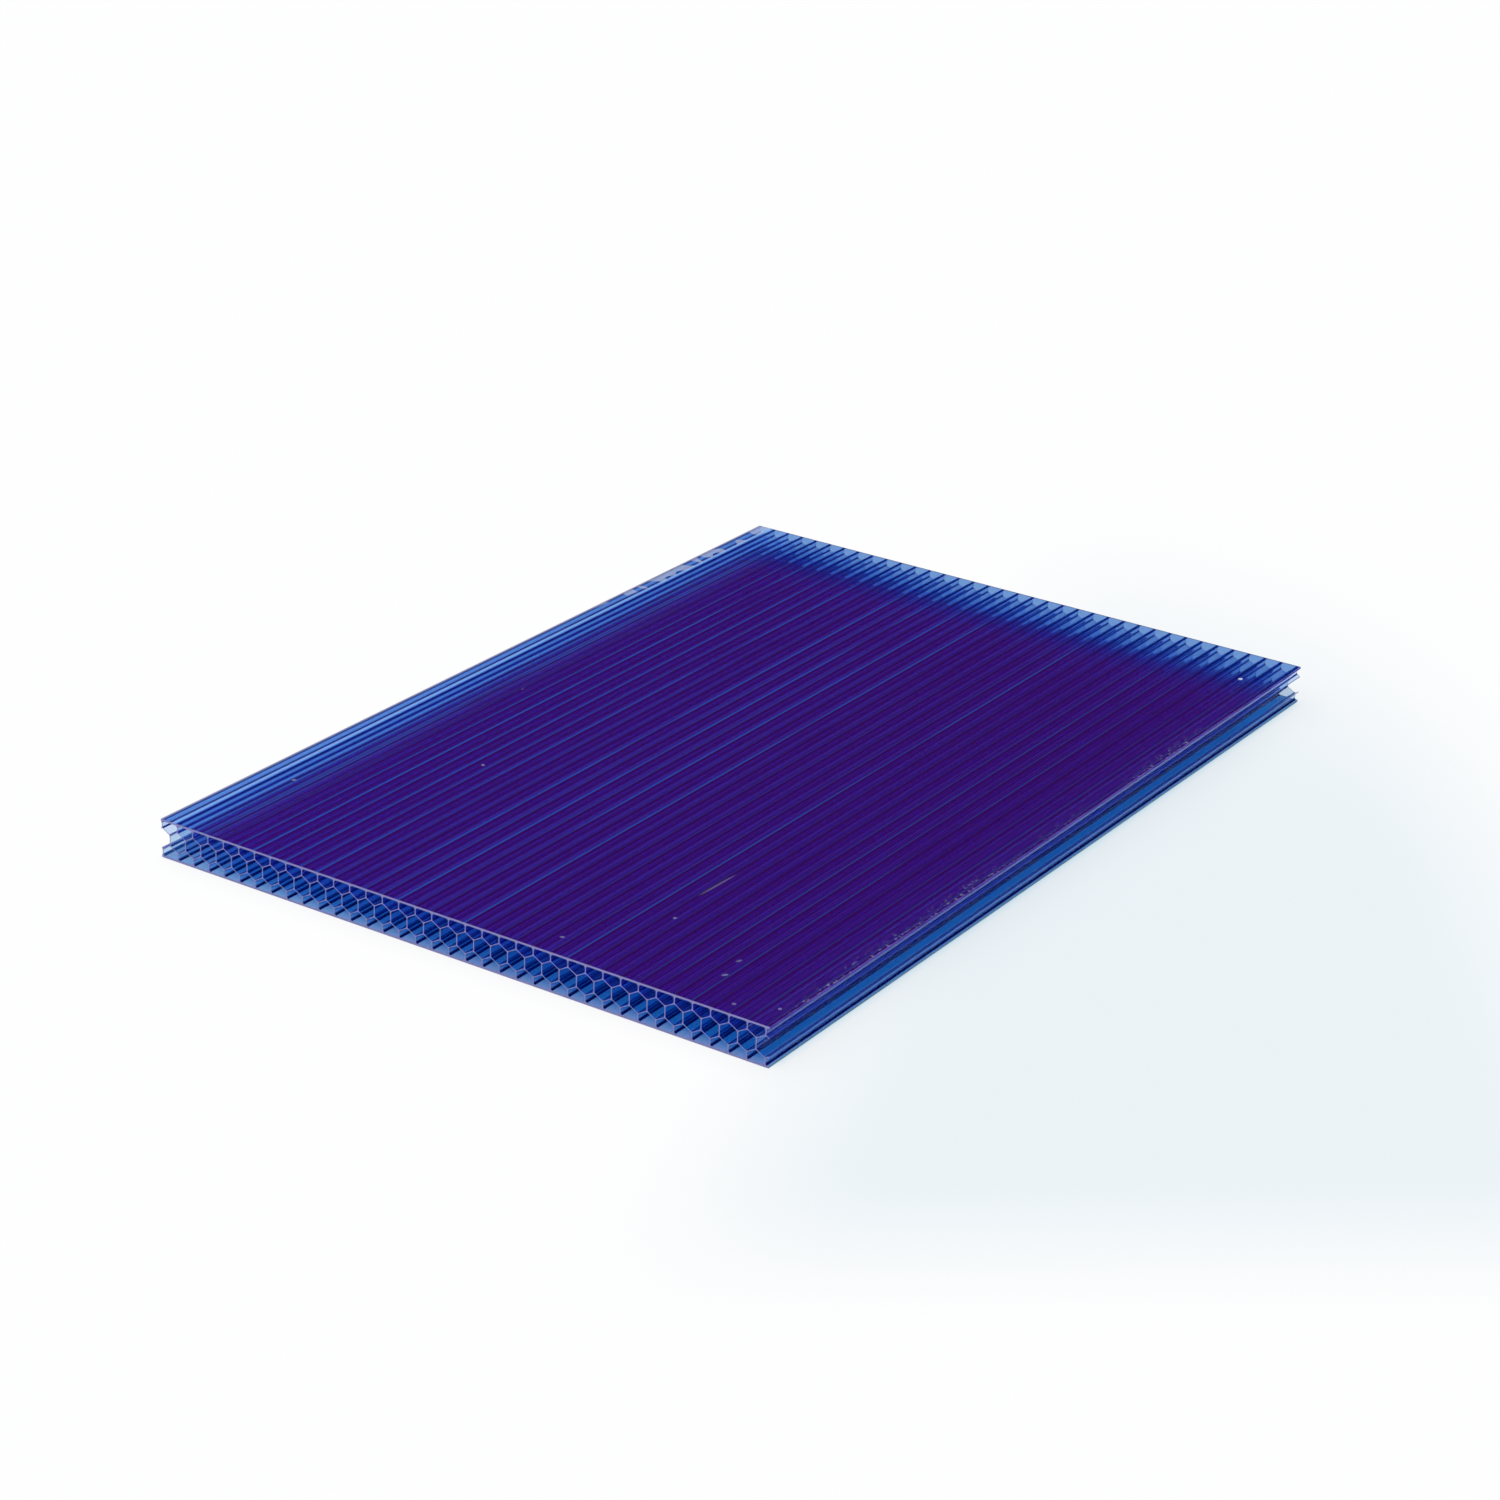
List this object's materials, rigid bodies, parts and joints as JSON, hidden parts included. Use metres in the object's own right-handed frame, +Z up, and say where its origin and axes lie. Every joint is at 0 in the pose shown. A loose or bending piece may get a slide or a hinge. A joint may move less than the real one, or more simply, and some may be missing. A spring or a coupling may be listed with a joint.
{
  "type": "multiwall polycarbonate sheet",
  "caption": "Flat translucent blue glazing sheet with a honeycomb core of flutes between two thin skins, sawn to size",
  "frame": {"origin": "centre of the underside", "axes": "X across the flutes, Y along the flutes, Z up through the thickness"},
  "size_m": [0.2074, 0.305, 0.012],
  "materials": {
    "blue_polycarbonate": "extruded polycarbonate tinted blue right through, clear and glossy on both skins, matt on the sawn edges"
  },
  "bodies": {
    "root": {"sheet": "blue_polycarbonate"}
  },
  "joints": []
}
